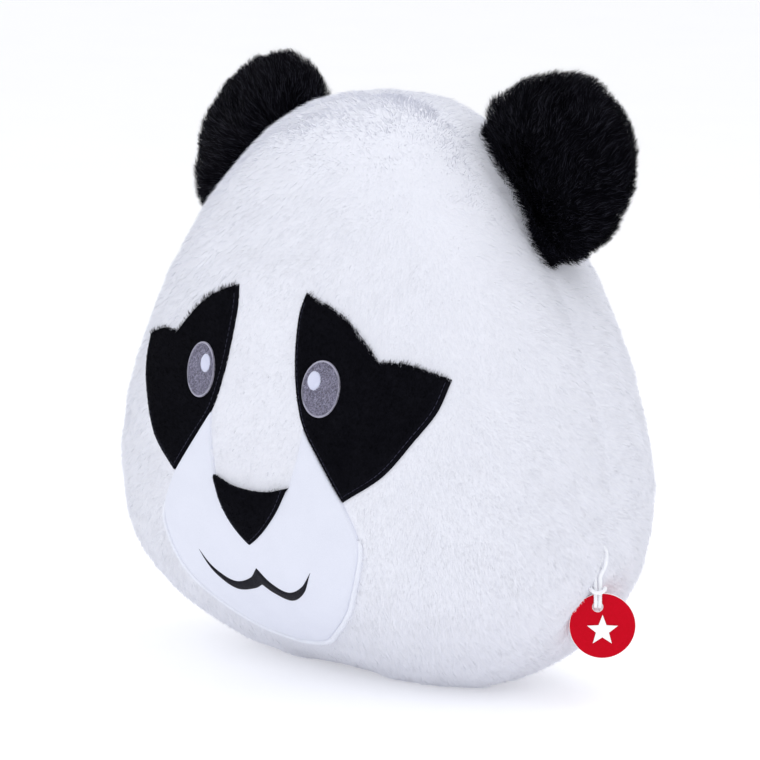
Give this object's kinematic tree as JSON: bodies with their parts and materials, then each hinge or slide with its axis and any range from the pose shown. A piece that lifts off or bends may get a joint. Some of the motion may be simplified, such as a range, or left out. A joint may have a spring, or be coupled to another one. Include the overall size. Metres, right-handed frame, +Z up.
{
  "type": "plush head cushion",
  "caption": "Stuffed panda head cushion with a flat place to stand on, two bending ears, an applique face and a hang tag on a cord.",
  "frame": {"origin": "on the flat patch that the cushion stands on, 5 mm in front of the seam between face and back", "axes": "+Z up, the face looks along -Y, the panda's left ear is at +X"},
  "size_m": [0.3417, 0.1868, 0.3307],
  "materials": {
    "white_plush": "matte",
    "white_velour": "matte",
    "white_embroidery": "satin",
    "black_plush": "matte",
    "black_short_plush": "matte",
    "black_thread": "satin",
    "iris_embroidery": "satin",
    "iris_rim_thread": "satin",
    "fibre_filling": "matte",
    "tag_board": "satin",
    "tag_print": "satin",
    "cord": "satin"
  },
  "bodies": {
    "head": {"face_panel": "white_plush", "back_panel_left": "white_plush", "back_panel_right": "white_plush", "closing_seam_thread": "white_embroidery", "head_stuffing": "fibre_filling", "muzzle_panel": "white_velour", "muzzle_edge_stitching": "white_embroidery", "nose_patch": "black_short_plush", "nose_stitching": "black_thread", "mouth_embroidery": "black_thread", "eye_patch_left": "black_short_plush", "eye_patch_stitching_left": "black_thread", "iris_left": "iris_embroidery", "iris_rim_left": "iris_rim_thread", "eye_highlight_left": "white_embroidery", "eye_patch_right": "black_short_plush", "eye_patch_stitching_right": "black_thread", "iris_right": "iris_embroidery", "iris_rim_right": "iris_rim_thread", "eye_highlight_right": "white_embroidery", "ear_root_left": "black_plush", "ear_root_right": "black_plush"},
    "ear_left": {"ear_front_left": "black_plush", "ear_back_left": "black_plush", "ear_stuffing_left": "fibre_filling"},
    "ear_right": {"ear_front_right": "black_plush", "ear_back_right": "black_plush", "ear_stuffing_right": "fibre_filling"},
    "tag_loop": {"tag_cord_strand_front": "cord", "tag_cord_strand_rear": "cord"},
    "hang_tag": {"tag_cord_hitch": "cord", "tag_disc": "tag_board", "tag_star": "tag_print"}
  },
  "joints": [
    {"name": "ear_left_flex", "type": "hinge", "parent": "head", "child": "ear_left", "pos_m": [0.09625, 0.01595, 0.27102], "axis": [0.683, -0.1563, -0.7135], "range_deg": [-35, 50], "stiffness_Nm_per_rad": 0.12},
    {"name": "ear_right_flex", "type": "hinge", "parent": "head", "child": "ear_right", "pos_m": [-0.09625, 0.01595, 0.27102], "axis": [0.683, 0.1563, 0.7135], "range_deg": [-35, 50], "stiffness_Nm_per_rad": 0.12},
    {"name": "tag_swing", "type": "hinge", "parent": "head", "child": "tag_loop", "pos_m": [0.1656, 0.005, 0.088], "axis": [1, 0, 0], "range_deg": [-6, 35]},
    {"name": "tag_flip", "type": "hinge", "parent": "tag_loop", "child": "hang_tag", "pos_m": [0.16161, 0.00321, 0.071], "axis": [-0.7254, -0.6884, 0], "range_deg": [-5, 90]}
  ]
}
